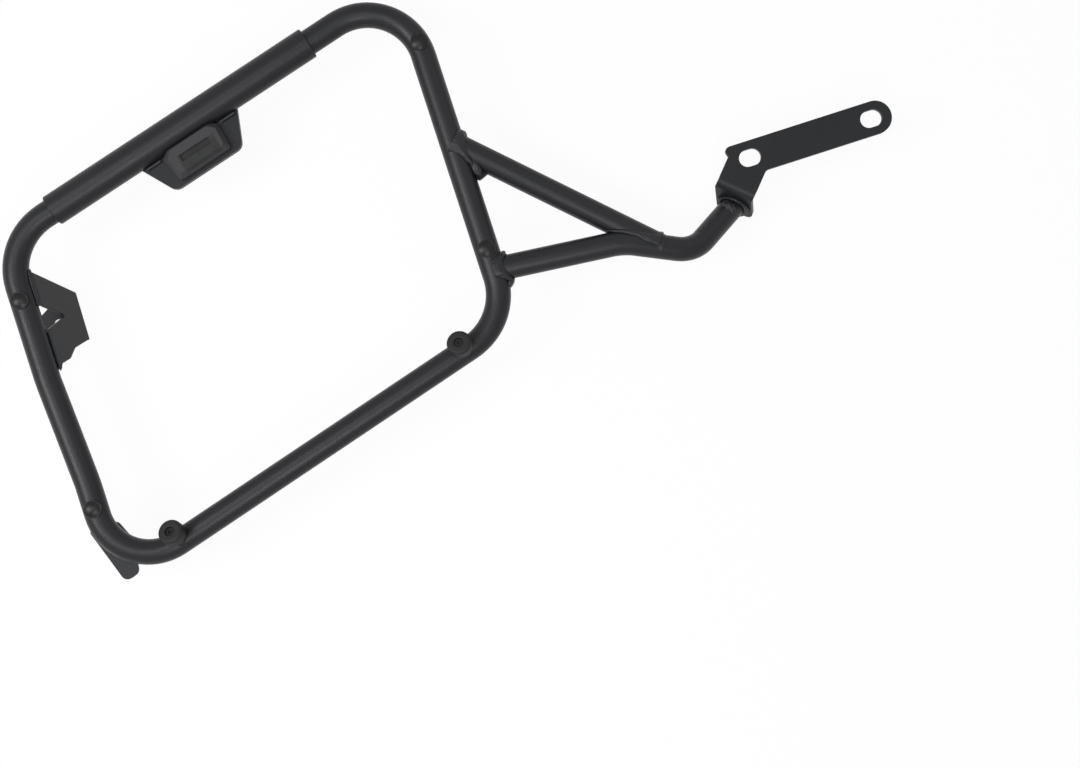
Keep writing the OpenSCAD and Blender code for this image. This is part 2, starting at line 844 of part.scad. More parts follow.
// One cut corner of the seat, on the upper or the lower side
module seat_cut(side) {
    far = seat_far[0] - bracket_t;
    slope = bracket_cut_w / bracket_cut_l;
    polygon([[far, side * (bracket_seat_w / 2 - bracket_cut_w - bracket_t * slope)],
             [far + 2 * bracket_cut_l,
              side * (bracket_seat_w / 2 - bracket_cut_w + (2 * bracket_cut_l - bracket_t) * slope)],
             [far, side * (bracket_seat_w / 2 + bracket_cut_w)]]);
}

module rear_bracket() {
    color("slategray")
        at_loop()
            difference() {
                at_bracket()
                    difference() {
                        intersection() {
                            rotate([90, 0, 0])
                                translate([0, 0, -bracket_seat_w * 1.5])
                                    linear_extrude(height = bracket_seat_w * 3)
                                        bracket_section(0);
                            rotate([90, 0, 90])
                                translate([0, 0, seat_far[0] - bracket_t])
                                    linear_extrude(height = bracket_seat_l * 2)
                                        bracket_outline();
                        }
                        rotate([90, 0, 90])
                            translate([0, 0, rear_x])
                                linear_extrude(height = bracket_seat_l)
                                    bracket_window();
                        for (side = [-1, 1])
                            translate([0, 0, seat_z - bracket_t])
                                linear_extrude(height = 2 * bracket_t)
                                    seat_cut(side);
                        translate([hole_x, 0, -bracket_depth - 1])
                            cylinder(r = bracket_hole_d / 2, h = bracket_t + 2);
                    }
                side_tube_solid(bracket_slit);
            }
}

// Solid form of the rear side tube, its step and the bends beside them
module side_tube_solid(more) {
    bent_tube([flat(rear_low), flat(step_low), flat(step_top), flat(rear_top),
               flat(sleeve_mid)], [0, rear_step_r, rear_step_r, open_corner_r, 0],
              tube_r + more, tube_r + more);
}

// Solid ring of the rear bottom corner's bend
module low_corner_solid(more) {
    up = unit(step_low - rear_low);
    half = acos(up * slope_dir) / 2;
    mid = rear_low + unit(up + slope_dir) * rear_low_r / sin(half);
    translate([mid[0], mid[1], 0])
        rotate_extrude()
            translate([rear_low_r, 0])
                circle(r = tube_r + more);
}

// Section of the bead that fills the notch over the bracket's top edge
module upper_bead() {
    translate([rear_x + tube_r, bracket_top_z])
        polygon([[-2, weld_gap], [bracket_edge - 0.3, weld_gap], [0.8, weld_leg], [-2, weld_leg]]);
}

// Section of the bead between the tube's underside and the bracket's inner face
module lower_bead() {
    difference() {
        translate([rear_x, -3 * weld_leg + 1])
            square([tube_r + weld_leg, 2 * weld_leg - 1]);
        bracket_section(weld_gap);
        translate([rear_x + tube_r + weld_leg - 1, -3 * weld_leg])
            square([5, weld_leg]);
    }
}

// A bead along the bracket, from a place beside its middle
module bracket_bead(from_y) {
    difference() {
        at_bracket()
            translate([0, from_y, 0])
                rotate([90, 0, 0])
                    linear_extrude(height = bead_len)
                        children();
        side_tube_solid(weld_gap);
    }
}

// Bead over the upper half of the bracket's edge, and one behind its lower half
module bracket_welds() {
    color("gray")
        at_loop() {
            bracket_bead(bracket_seat_w / 2 + bracket_rise + 3)
                upper_bead();
            bracket_bead(-window_w / 2)
                lower_bead();
        }
}

// Tab frame: X down the outer edge, Y toward the inside of the loop
module at_tab() {
    translate([tab_top[0], tab_top[1], tab_z])
        rotate([0, 0, tab_dir])
            children();
}

module crossbar_tab() {
    color("slategray")
        at_loop()
            at_tab()
                difference() {
                    union() {
                        translate([0, 0, -tab_t])
                            linear_extrude(height = tab_t)
                                tab_outline(0);
                        translate([0, tab_t, 0])
                            rotate([90, 0, 0])
                                linear_extrude(height = tab_t)
                                    polygon(rounded([[5, -tab_t / 2], [tab_len - 6, -tab_t / 2],
                                                     [tab_len - 12, -tab_ear], [12, -tab_ear]],
                                                    [0, 0, 9, 9]));
                    }
                    translate([tab_len / 2, tab_t + 1, -tab_ear * 0.6])
                        rotate([90, 0, 0])
                            cylinder(r = tab_hole_d / 2, h = tab_t + 2);
                }
}

// Outline of the tab's flat part, in the tab's frame
module tab_outline(inset) {
    polygon(rounded([[inset, inset], [tab_len - inset, inset], [tab_len - inset, 12.5 - inset],
                     [24, 24 - inset], [6, 22.5 - inset], [-3 + inset, 10]],
                    [2, 5.5, 5.5, 10, 5, 6]));
}

// Beads between the tab and the underside of the bent tube, on both of its flanks
module tab_welds() {
    color("gray")
        at_loop()
            difference() {
                intersection() {
                    low_corner_solid(weld_leg);
                    at_tab()
                        translate([0, 0, weld_gap])
                            linear_extrude(height = weld_leg)
                                tab_outline(0.8);
                }
                low_corner_solid(weld_gap);
            }
}

// Trapezium of the latch plate, shrunk by an inset
module latch_outline(inset) {
    top = latch_top_w / 2;
    low = latch_low_w / 2;
    r = max(latch_r - inset, 0.5);
    polygon(rounded([[-top + inset, -4], [-top + inset, -sleeve_d / 2 + 2.5],
                     [-low + inset * 0.8, -latch_reach + inset],
                     [low - inset * 0.8, -latch_reach + inset],
                     [top - inset, -sleeve_d / 2 + 2.5], [top - inset, -4]],
                    [0, 0, r, r, 0, 0], 8));
}

// Pressed plate with a turned-down rim, open toward the sleeve
module latch_plate() {
    color("slategray")
        at_loop()
            at_sleeve()
                difference() {
                    translate([0, 0, latch_z - latch_rim])
                        linear_extrude(height = latch_rim)
                            latch_outline(0);
                    translate([0, 0, latch_z - latch_rim - 1])
                        linear_extrude(height = latch_rim - latch_t + 1)
                            latch_outline(latch_t);
                    translate([-60, 0, 0])
                        rotate([0, 90, 0])
                            cylinder(r = sleeve_d / 2 + weld_gap, h = 120);
                    for (s = [-1, 1])
                        translate([s * pad_len * 0.3, pad_y, latch_z - latch_t - 1])
                            cylinder(r = peg_d / 2 + boss_clear, h = latch_t + 2);
                }
}

module latch_welds() {
    color("gray")
        at_loop()
            at_sleeve()
                for (s = [0, 1])
                    mirror([s, 0, 0])
                        translate([pad_len / 2 + pad_clear, 0, 0])
                            rotate([0, 90, 0])
                                difference() {
                                    linear_extrude(height = latch_bead)
                                        intersection() {
                                            circle(r = sleeve_d / 2 + weld_leg);
                                            translate([-latch_z - weld_gap, -sleeve_d / 2 - weld_leg])
                                                mirror([1, 0])
                                                    square([weld_leg, 2 * weld_leg]);
                                        }
                                    translate([0, 0, -1])
                                        cylinder(r = sleeve_d / 2 + weld_gap, h = latch_bead + 2);
                                }
}

// Outline of the latch pad about its own middle
module pad_outline(inset) {
    x = pad_len / 2 - inset;
    y = pad_w / 2 - inset;
    polygon(rounded([[-x, y - 5], [-x + 5.5, y], [x - 5.5, y], [x, y - 5],
                     [x - 1.5, -y + 1.5], [x - 3, -y], [-x + 3, -y], [-x + 1.5, -y + 1.5]],
                    [2, 2.5, 2.5, 2, 1, 1, 1, 1], 3));
}

// Rubber pad with tapered sides, a long recess and two pegs through the plate
module latch_pad() {
    color("black")
        at_loop()
            at_sleeve()
                translate([0, pad_y, latch_z]) {
                    difference() {
                        hull() {
                            linear_extrude(height = pad_h * 0.45)
                                pad_outline(0);
                            linear_extrude(height = pad_h)
                                pad_outline(pad_taper);
                        }
                        translate([-13, -3, pad_h - 1.5])
                            cube([26, 5.5, 3]);
                        translate([-pad_len, -pad_y, -latch_z])
                            rotate([0, 90, 0])
                                cylinder(r = sleeve_d / 2 + weld_gap, h = 2 * pad_len);
                    }
                    for (s = [-1, 1])
                        translate([s * pad_len * 0.3, 0, 0]) {
                            translate([0, 0, -latch_t])
                                cylinder(r = peg_d / 2, h = latch_t + 0.2);
                            translate([0, 0, -latch_t - 2])
                                cylinder(r1 = peg_d / 2 - 0.1, r2 = peg_d / 2 + 0.9, h = 2);
                        }
                }
}

loop_tube();
top_sleeve();
stud_bosses();
stud_plugs();
buffer_seats();
rubber_buffers();
buffer_screws();
upper_brace();
lower_arm();
brace_gusset();
brace_weld();
arm_weld();
stay_weld();
plate_weld();
mount_plate();
rear_bracket();
bracket_welds();
crossbar_tab();
tab_welds();
latch_plate();
latch_welds();
latch_pad();
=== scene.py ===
"""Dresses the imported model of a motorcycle's side case frame and lights it as in the photograph."""

import logging  # noqa: E402
import math  # noqa: E402
from dataclasses import dataclass  # noqa: E402
from enum import Enum  # noqa: E402

import bmesh  # noqa: E402
import bpy  # noqa: E402
from mathutils import Matrix, Vector, noise  # noqa: E402
from mathutils.bvhtree import BVHTree  # noqa: E402


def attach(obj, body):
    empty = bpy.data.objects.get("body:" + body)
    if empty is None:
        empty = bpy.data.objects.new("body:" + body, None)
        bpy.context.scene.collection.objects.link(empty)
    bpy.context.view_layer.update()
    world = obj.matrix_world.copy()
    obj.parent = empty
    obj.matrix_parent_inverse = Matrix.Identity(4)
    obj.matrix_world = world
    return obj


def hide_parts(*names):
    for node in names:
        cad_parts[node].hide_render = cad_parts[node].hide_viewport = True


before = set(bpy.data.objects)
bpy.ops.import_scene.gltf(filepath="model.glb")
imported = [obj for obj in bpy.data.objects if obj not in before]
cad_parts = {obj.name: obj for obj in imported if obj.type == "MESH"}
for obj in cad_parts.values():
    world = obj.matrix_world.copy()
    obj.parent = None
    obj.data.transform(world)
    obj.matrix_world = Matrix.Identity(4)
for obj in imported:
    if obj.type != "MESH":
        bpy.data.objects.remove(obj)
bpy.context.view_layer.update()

LOG = logging.getLogger("case_frame")
MM = 0.001
SEAM = 0.002 * MM  # vertices closer than this are one
WELD_CREASE = 60.0  # degrees from which an edge of weld metal stays sharp in shading
NOISE_MEAN = 0.5  # the middle of a noise node's range
MIX_DARK, MIX_LIGHT, MIX_COLOUR = 6, 7, 2  # a colour Mix node's inputs and its output
WHITE = (1.0, 1.0, 1.0, 1.0)
Colour = tuple[float, float, float]
Point = tuple[float, float, float]


@dataclass(frozen=True)
class Panel:
    """A rectangle on a moulding where painted shade darkens the colour, with its axis along its
    length.
    """

    middle: Point
    way: Point
    half_length: float
    half_width: float
    soft_edge: float = 0.7 * MM


class Socket:
    """One value in a shader, which plain Python arithmetic turns into Math nodes."""

    def __init__(self, desk: "ShaderDesk", link: bpy.types.NodeSocket) -> None:
        """Keeps the output socket and the desk that makes nodes.

        Args:
            desk: the maker of nodes in the same material.
            link: the output socket that holds the value.
        """
        self.desk = desk
        self.link = link

    def _math(self, kind: str, a: "Socket | float", b: "Socket | float") -> "Socket":
        """Returns a Math node's result for two values."""
        return self.desk.node("ShaderNodeMath", {"operation": kind}, {0: a, 1: b})

    def __add__(self, other: "Socket | float") -> "Socket":
        """Returns self + other."""
        return self._math("ADD", self, other)

    def __radd__(self, other: float) -> "Socket":
        """Returns other + self."""
        return self._math("ADD", other, self)

    def __sub__(self, other: "Socket | float") -> "Socket":
        """Returns self - other."""
        return self._math("SUBTRACT", self, other)

    def __rsub__(self, other: float) -> "Socket":
        """Returns other - self."""
        return self._math("SUBTRACT", other, self)

    def __mul__(self, other: "Socket | float") -> "Socket":
        """Returns self * other."""
        return self._math("MULTIPLY", self, other)

    def __truediv__(self, other: "Socket | float") -> "Socket":
        """Returns self / other."""
        return self._math("DIVIDE", self, other)

    def __abs__(self) -> "Socket":
        """Returns the value without its sign."""
        return self._math("ABSOLUTE", self, 0.0)

    def clamped(self) -> "Socket":
        """Returns the value held between 0 and 1."""
        return self.desk.node(
            "ShaderNodeClamp", {}, {"Value": self, "Min": 0.0, "Max": 1.0}
        )


class ShaderDesk:
    """Makes the nodes of one material or of the world."""

    def __init__(self, name: str, world: bool = False) -> None:
        """Opens a new material or world with an empty node tree.

        Args:
            name: the material's or the world's name.
            world: True for a world.
        """
        store = bpy.data.worlds if world else bpy.data.materials
        self.material = store.new(name)
        self.material.use_nodes = True
        self.tree = self.material.node_tree
        self.tree.nodes.clear()

    def raw(
        self, kind: str, settings: dict[str, object], inputs: dict[object, object]
    ) -> bpy.types.Node:
        """Adds a node, sets its settings and then its inputs.

        Args:
            kind: the node's type.
            settings: attributes that are set before the inputs.
            inputs: values or sockets by input name or number.

        Returns:
            The node.
        """
        made = self.tree.nodes.new(kind)
        for key, value in settings.items():
            if key == "stops":
                self._stops(made, value)
            else:
                setattr(made, key, value)
        for key, value in inputs.items():
            if isinstance(value, Socket):
                self.tree.links.new(value.link, made.inputs[key])
            else:
                made.inputs[key].default_value = value
        return made

    def _stops(self, ramp: bpy.types.Node, stops: list[tuple[float, float]]) -> None:
        """Sets a colour ramp's grey stops.

        Args:
            ramp: the ramp node.
            stops: (place, level) pairs, in order.
        """
        band = ramp.color_ramp.elements
        while len(band) < len(stops):
            band.new(0.5)
        for element, (place, level) in zip(band, stops):
            element.position = place
            element.color = (level, level, level, 1.0)

    def node(
        self,
        kind: str,
        settings: dict[str, object],
        inputs: dict[object, object],
        output: str | int = 0,
    ) -> Socket:
        """Adds a node and returns one of its outputs.

        Args:
            kind: the node's type.
            settings: attributes that are set before the inputs.
            inputs: values or sockets by input name or number.
            output: the output's name or number.

        Returns:
            The output as a value for further maths.
        """
        return Socket(self, self.raw(kind, settings, inputs).outputs[output])

    def place(self) -> Socket:
        """Returns the point on the object, in metres."""
        return self.node("ShaderNodeTexCoord", {}, {}, "Object")

    def noise(self, scale: float, detail: float = 3.0, rough: float = 0.5) -> Socket:
        """Returns cloud noise of a scale per metre, between about 0.2 and 0.8."""
        return self.node(
            "ShaderNodeTexNoise",
            {},
            {
                "Vector": self.place(),
                "Scale": scale,
                "Detail": detail,
                "Roughness": rough,
            },
        )

    def speckle(self, scale: float) -> Socket:
        """Returns the distance to the nearest of scattered points."""
        return self.node(
            "ShaderNodeTexVoronoi", {}, {"Vector": self.place(), "Scale": scale}
        )

    def levels(self, value: Socket, stops: list[tuple[float, float]]) -> Socket:
        """Returns the value run through a grey ramp."""
        return self.node("ShaderNodeValToRGB", {"stops": stops}, {"Fac": value})

    def mixed(self, factor: Socket, dark: "Colour | Socket", light: Colour) -> Socket:
        """Returns a colour between two, by a factor from 0 to 1."""
        base = dark if isinstance(dark, Socket) else (*dark, 1.0)
        return self.node(
            "ShaderNodeMix",
            {"data_type": "RGBA"},
            {"Factor": factor, MIX_DARK: base, MIX_LIGHT: (*light, 1.0)},
            MIX_COLOUR,
        )

    def inside(self, panel: Panel) -> Socket:
        """Returns 1 inside a panel and 0 outside it, with a soft edge.

        Args:
            panel: the panel.

        Returns:
            The mask.
        """
        arm = self.node(
            "ShaderNodeVectorMath",
            {"operation": "SUBTRACT"},
            {0: self.place(), 1: panel.middle},
            "Vector",
        )
        across = (-panel.way[1], panel.way[0], 0.0)
        mask = None
        for axis, half in ((panel.way, panel.half_length), (across, panel.half_width)):
            reach = self.node(
                "ShaderNodeVectorMath",
                {"operation": "DOT_PRODUCT"},
                {0: arm, 1: axis},
                "Value",
            )
            within = ((half - abs(reach)) / panel.soft_edge + 0.5).clamped()
            mask = within if mask is None else mask * within
        return mask

    def bumped(self, height: Socket, strength: float, distance: float) -> Socket:
        """Returns a normal that follows a height."""
        return self.node(
            "ShaderNodeBump",
            {},
            {"Height": height, "Strength": strength, "Distance": distance},
            "Normal",
        )

    def seen_plainly(self) -> Socket:
        """Returns 1 for rays from the camera, off a mirror or through glass, else 0."""
        path = self.raw("ShaderNodeLightPath", {}, {})
        kinds = ("Is Camera Ray", "Is Glossy Ray", "Is Transmission Ray")
        camera, glossy, through = (Socket(self, path.outputs[kind]) for kind in kinds)
        return (camera + glossy + through).clamped()

    def finish(self, **sockets: object) -> bpy.types.Material:
        """Closes the material with a Principled surface.

        Args:
            **sockets: values or links by socket name, with _ for a space.

        Returns:
            The finished material.
        """
        named = {key.replace("_", " "): value for key, value in sockets.items()}
        surface = self.node("ShaderNodeBsdfPrincipled", {}, named, "BSDF")
        self.raw("ShaderNodeOutputMaterial", {}, {"Surface": surface})
        return self.material


@dataclass(frozen=True)
class PowderCoat:
    """Satin powder coat over steel: fine orange peel, slow tone drift and a little dust.

    Scales are in waves per metre; a share says how much of a noise goes into a value.
    """

    name: str
    deep: Colour = (0.0078, 0.0081, 0.0102)
    worn: Colour = (0.0148, 0.0152, 0.0182)
    roughness: float = 0.35
    mirror: float = 0.23
    peel: float = 0.26
    cloud_scale: float = 26.0
    peel_scale: float = 1100.0
    grain_scale: float = 2600.0
    fleck_scale: float = 420.0
    fleck_size: float = 0.055
    cloud_share: float = 0.8
    grain_share: float = 0.35
    fleck_share: float = 0.175
    cloud_drift: float = 0.16
    grain_drift: float = 0.12
    peel_depth: float = 0.6 * MM

    def make(self) -> bpy.types.Material:
        """Returns the coat's material."""
        desk = ShaderDesk(self.name)
        cloud = desk.noise(self.cloud_scale, 4.0, 0.6)
        fine = desk.noise(self.peel_scale, 2.0, 0.5)
        grain = desk.noise(self.grain_scale, 2.0, 0.6)
        specks = desk.speckle(self.fleck_scale)
        fleck = desk.levels(specks, [(0.0, 1.0), (self.fleck_size, 0.0)])
        tone = cloud * self.cloud_share + grain * self.grain_share
        tone = (tone + fleck * self.fleck_share).clamped()
        colour = desk.mixed(tone, self.deep, self.worn)
        rough = self.roughness + (cloud - NOISE_MEAN) * self.cloud_drift
        rough = (rough + (grain - NOISE_MEAN) * self.grain_drift).clamped()
        height = fine * 0.8 + grain * 0.2
        return desk.finish(
            Base_Color=colour,
            Roughness=rough,
            Metallic=0.0,
            Specular_IOR_Level=self.mirror,
            Normal=desk.bumped(height, self.peel, self.peel_depth),
        )


@dataclass(frozen=True)
class WeldCoat:
    """Powder coat that lies over a weld bead's ripples."""

    name: str
    deep: Colour = (0.0084, 0.0087, 0.0104)
    worn: Colour = (0.0190, 0.0196, 0.0216)
    mirror: float = 0.27
    roughness: float = 0.40
    drift: float = 0.3
    lump_scale: float = 420.0
    ripple_scale: float = 1100.0
    bump: float = 0.24
    depth: float = 1.0 * MM

    def make(self) -> bpy.types.Material:
        """Returns the bead's material."""
        desk = ShaderDesk(self.name)
        lump = desk.noise(self.lump_scale, 3.0, 0.55)
        ripple = desk.noise(self.ripple_scale, 2.0, 0.5)
        colour = desk.mixed(lump.clamped(), self.deep, self.worn)
        rough = (self.roughness + (lump - NOISE_MEAN) * self.drift).clamped()
        return desk.finish(
            Base_Color=colour,
            Roughness=rough,
            Metallic=0.0,
            Specular_IOR_Level=self.mirror,
            Normal=desk.bumped(lump * 0.7 + ripple * 0.3, self.bump, self.depth),
        )


@dataclass(frozen=True)
class MouldedRubber:
    """Matt moulded rubber with a dusty bloom and a faint mould texture, and painted shade inside a
    panel where one is given.
    """

    name: str
    deep: Colour = (0.0070, 0.0070, 0.0076)
    bloom: Colour = (0.0140, 0.0140, 0.0150)
    roughness: float = 0.56
    mirror: float = 0.25
    # A panel and its colour give painted shade.
    panel: Panel | None = None
    panel_shade_colour: Colour = (0.0200, 0.0208, 0.0202)
    cloud_scale: float = 140.0
    grain_scale: float = 3400.0
    drift: float = 0.2
    shade_bias: float = 0.35
    bump: float = 0.22
    depth: float = 0.3 * MM

    def make(self) -> bpy.types.Material:
        """Returns the rubber's material."""
        desk = ShaderDesk(self.name)
        cloud = desk.noise(self.cloud_scale, 4.0, 0.6)
        grain = desk.noise(self.grain_scale, 2.0, 0.6)
        tone = (cloud * 0.9 + grain * 0.2).clamped()
        colour = desk.mixed(tone, self.deep, self.bloom)
        # Painted shade: inside the panel the colour is darkened, mottled by the cloud noise.
        if self.panel is not None:
            painted_shade = desk.inside(self.panel) * (cloud + self.shade_bias).clamped()
            colour = desk.mixed(painted_shade, colour, self.panel_shade_colour)
        rough = (self.roughness + (cloud - NOISE_MEAN) * self.drift).clamped()
        return desk.finish(
            Base_Color=colour,
            Roughness=rough,
            Specular_IOR_Level=self.mirror,
            Normal=desk.bumped(grain + cloud * 0.3, self.bump, self.depth),
        )


@dataclass(frozen=True)
class MouldedPlastic:
    """Fine-grained black plastic of the stud plugs."""

    name: str
    deep: Colour = (0.0034, 0.0040, 0.0036)
    light: Colour = (0.0066, 0.0074, 0.0068)
    roughness: float = 0.34
    drift: float = 0.2
    mirror: float = 0.22
    grain_scale: float = 2800.0
    cloud_scale: float = 160.0
    bump: float = 0.16
    depth: float = 0.2 * MM

    def make(self) -> bpy.types.Material:
        """Returns the plastic's material."""
        desk = ShaderDesk(self.name)
        grain = desk.noise(self.grain_scale, 2.0, 0.6)
        cloud = desk.noise(self.cloud_scale, 3.0, 0.5)
        return desk.finish(
            Base_Color=desk.mixed(cloud.clamped(), self.deep, self.light),
            Roughness=(self.roughness + (grain - NOISE_MEAN) * self.drift).clamped(),
            Specular_IOR_Level=self.mirror,
            Normal=desk.bumped(grain, self.bump, self.depth),
        )


@dataclass(frozen=True)
class BlackenedSteel:
    """Screw steel under a black coat, a little paler where it is rubbed."""

    name: str
    dark: Colour = (0.0016, 0.0016, 0.0018)
    bright: Colour = (0.0120, 0.0120, 0.0130)
    roughness: float = 0.34
    drift: float = 0.3
    mirror: float = 0.25
    cloud_scale: float = 900.0
    rubbed_from: float = 0.45
    rubbed_to: float = 0.72
    bump: float = 0.2
    depth: float = 0.2 * MM

    def make(self) -> bpy.types.Material:
        """Returns the steel's material."""
        desk = ShaderDesk(self.name)
        cloud = desk.noise(self.cloud_scale, 4.0, 0.6)
        stops = [(self.rubbed_from, 0.0), (self.rubbed_to, 1.0)]
        rubbed = desk.levels(cloud, stops)
        return desk.finish(
            Base_Color=desk.mixed(rubbed, self.dark, self.bright),
            Roughness=(self.roughness + (cloud - NOISE_MEAN) * self.drift).clamped(),
            Metallic=0.0,
            Specular_IOR_Level=self.mirror,
            Normal=desk.bumped(cloud, self.bump, self.depth),
        )


class Finishes:
    """All finishes of the object, made once."""

    def __init__(self) -> None:
        """Makes every material."""
        self.tube = PowderCoat("tube_powder_coat").make()
        self.sheet = PowderCoat(
            "sheet_powder_coat",
            deep=(0.0108, 0.0114, 0.0132),
            worn=(0.0168, 0.0176, 0.0200),
            roughness=0.40,
            mirror=0.19,
            peel=0.18,
        ).make()
        self.weld = WeldCoat("weld_powder_coat").make()
        self.rubber = MouldedRubber("buffer_rubber").make()
        # The pad's panel is painted shade on its top, round the recess.
        self.pad = MouldedRubber(
            "pad_rubber",
            deep=(0.028, 0.028, 0.031),
            bloom=(0.053, 0.052, 0.056),
            roughness=0.70,
            panel=Panel((-0.4632, 0.1324, 0.024), (0.9617, 0.2740, 0.0), 0.0165, 0.0072),
        ).make()
        # A darker copy of the rubber, painted shade for the pad's recess.
        self.recess = MouldedRubber(
            "recess_painted_shade",
            deep=(0.008, 0.008, 0.009),
            bloom=(0.034, 0.034, 0.036),
            roughness=0.8,
        ).make()
        self.plug = MouldedPlastic("plug_plastic").make()
        self.screw = BlackenedSteel("screw_steel").make()


def dress_node(name: str, material: bpy.types.Material) -> None:
    """Gives a CAD node its finish.

    Args:
        name: the node's name.
        material: the finish.
    """
    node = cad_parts[name]
    node.data.materials.clear()
    node.data.materials.append(material)
    LOG.info("dressed %s with %s", name, material.name)


def hang(
    form: bmesh.types.BMesh,
    name: str,
    node: str | None,
    material: bpy.types.Material,
    crease: float = 38.0,
) -> bpy.types.Object:
    """Turns a finished form into a piece of the object.

    Args:
        form: the form, which is freed.
        name: the new piece's name.
        node: the CAD node that it stands for, or None for a piece of its own.
        material: the finish.
        crease: the angle in degrees from which an edge stays sharp in shading.

    Returns:
        The piece.
    """
    mesh = bpy.data.meshes.new(name)
    form.to_mesh(mesh)
    form.free()
    mesh.polygons.foreach_set("use_smooth", [True] * len(mesh.polygons))
    mesh.set_sharp_from_angle(angle=math.radians(crease))
    mesh.materials.append(material)
    piece = bpy.data.objects.new(name, mesh)
    bpy.context.scene.collection.objects.link(piece)
    even = piece.modifiers.new("even_faces", "WEIGHTED_NORMAL")
    even.weight = 100
    even.keep_sharp = True
    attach(piece, "root")
    if node is not None:
        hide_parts(node)
    LOG.info("made %s with %d faces", name, len(mesh.polygons))
    return piece


def node_form(node: str) -> bmesh.types.BMesh:
    """Returns a copy of a CAD node's mesh with its seams joined.

    Args:
        node: the node's name.

    Returns:
        The copy, to be changed freely.
    """
    form = bmesh.new()
    form.from_mesh(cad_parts[node].data)
    bmesh.ops.remove_doubles(form, verts=form.verts, dist=SEAM)
    return form


@dataclass(frozen=True)
class SoftEdges:
    """Rounds a node's sharp edges, as blasting and a coat or a mould leave them.

    Where the full rounding makes a narrow face cross itself, the shares of it are
    tried in turn. Angles are in degrees; slack is the area in square metres by which
    a face's triangles may differ from the face.
    """

    radius: float = 0.45 * MM
    segments: int = 2
    sharp_from: float = 32.0
    flat_within: float = 0.8
    slack: float = 4.0 * MM * MM
    shares: tuple[float, ...] = (0.75, 0.55, 0.4, 0.3, 0.22, 0.15)

    def build(
        self, node: str, name: str, slot: str, material: bpy.types.Material
    ) -> bpy.types.Object:
        """Makes the rounded piece in a node's place.

        Args:
            node: the node to round.
            name: the piece's name.
            slot: a material slot's name, which is not used.
            material: the finish.

        Returns:
            The piece.
        """
        form = self.rounded(node, self.radius)
        for share in self.shares:
            if self.sound(form):
                break
            form.free()
            form = self.rounded(node, self.radius * share)
        return hang(form, name, node, material)

    def sound(self, form: bmesh.types.BMesh) -> bool:
        """Tells whether the triangles of each face cover that face alone."""
        form.faces.index_update()
        covered = [0.0] * len(form.faces)
        for first, second, third in form.calc_loop_triangles():
            one, two = second.vert.co - first.vert.co, third.vert.co - first.vert.co
            covered[first.face.index] += one.cross(two).length / 2.0
        return all(
            abs(covered[face.index] - face.calc_area()) < self.slack
            for face in form.faces
        )

    def rounded(self, node: str, radius: float) -> bmesh.types.BMesh:
        """Rounds a copy of the node's form.

        Args:
            node: the node to round.
            radius: the rounding's width.

        Returns:
            The rounded form.
        """
        form = node_form(node)
        solid = BVHTree.FromBMesh(form)
        bmesh.ops.dissolve_limit(
            form,
            angle_limit=math.radians(self.flat_within),
            verts=form.verts,
            edges=form.edges,
        )
        sharp = [
            edge
            for edge in form.edges
            if edge.is_manifold
            and edge.calc_face_angle(0.0) > math.radians(self.sharp_from)
        ]
        bmesh.ops.bevel(
            form,
            geom=sharp,
            offset=radius,
            segments=self.segments,
            profile=0.5,
            affect="EDGES",
            clamp_overlap=False,
            loop_slide=True,
        )
        for vert in form.verts:
            spot, normal, _, _ = solid.find_nearest(vert.co)
            if (vert.co - spot).dot(normal) > 0.0:
                vert.co = spot
        return form


class Run(Enum):
    """How a bead's ripples follow one another."""

    ROUND = "round a tube"
    ALONG = "along a line"


@dataclass(frozen=True)
class WeldBead:
    """A rippled weld bead grown from a node's plain fillet."""

    node: str
    run: Run
    start: Point
    axis: Point
    pitch: float = 2.3 * MM
    ripple: float = 0.17 * MM
    lump: float = 0.34 * MM
    swell: float = 0.30 * MM
    grain: float = 0.34 * MM
    soften: int = 16
    push: float = 0.5
    mean_beat: float = 0.6
    lump_scale: float = 260.0
    tube_radius: float = 10.0 * MM

    def phase(self, spot: Vector) -> float:
        """Returns how many ripples lie between the bead's start and a spot.

        Args:
            spot: a point of the bead.

        Returns:
            The count, with its fraction.
        """
        axis = Vector(self.axis).normalized()
        arm = spot - Vector(self.start)
        if self.run is Run.ALONG:
            return arm.dot(axis) / self.pitch
        across = arm - axis * arm.dot(axis)
        side = axis.orthogonal().normalized()
        angle = math.atan2(across.dot(axis.cross(side)), across.dot(side))
        return angle * self.tube_radius / self.pitch

    def build(self, name: str, material: bpy.types.Material) -> bpy.types.Object:
        """Makes the bead in its node's place.

        Args:
            name: the piece's name.
            material: the finish.

        Returns:
            The piece.
        """
        form = node_form(self.node)
        mesh = bpy.data.meshes.new(name + "_core")
        form.to_mesh(mesh)
        form.free()
        core = bpy.data.objects.new(name + "_core", mesh)
        bpy.context.scene.collection.objects.link(core)
        fine = core.modifiers.new("fine", "REMESH")
        fine.mode = "VOXEL"
        fine.voxel_size = self.grain
        graph = bpy.context.evaluated_depsgraph_get()
        form = bmesh.new()
        form.from_object(core, graph)
        bpy.data.objects.remove(core)
        for _ in range(self.soften):
            bmesh.ops.smooth_vert(
                form,
                verts=form.verts,
                factor=self.push,
                use_axis_x=True,
                use_axis_y=True,
                use_axis_z=True,
            )
        form.normal_update()
        moves = []
        for vert in form.verts:
            beat = abs(math.sin(math.pi * self.phase(vert.co)))
            rough = noise.noise(vert.co * self.lump_scale)
            rise = self.swell + self.ripple * (beat - self.mean_beat)
            rise += self.lump * rough
            moves.append(vert.normal * rise)
        for vert, move in zip(form.verts, moves):
            vert.co += move
        return hang(form, name, self.node, material, WELD_CREASE)


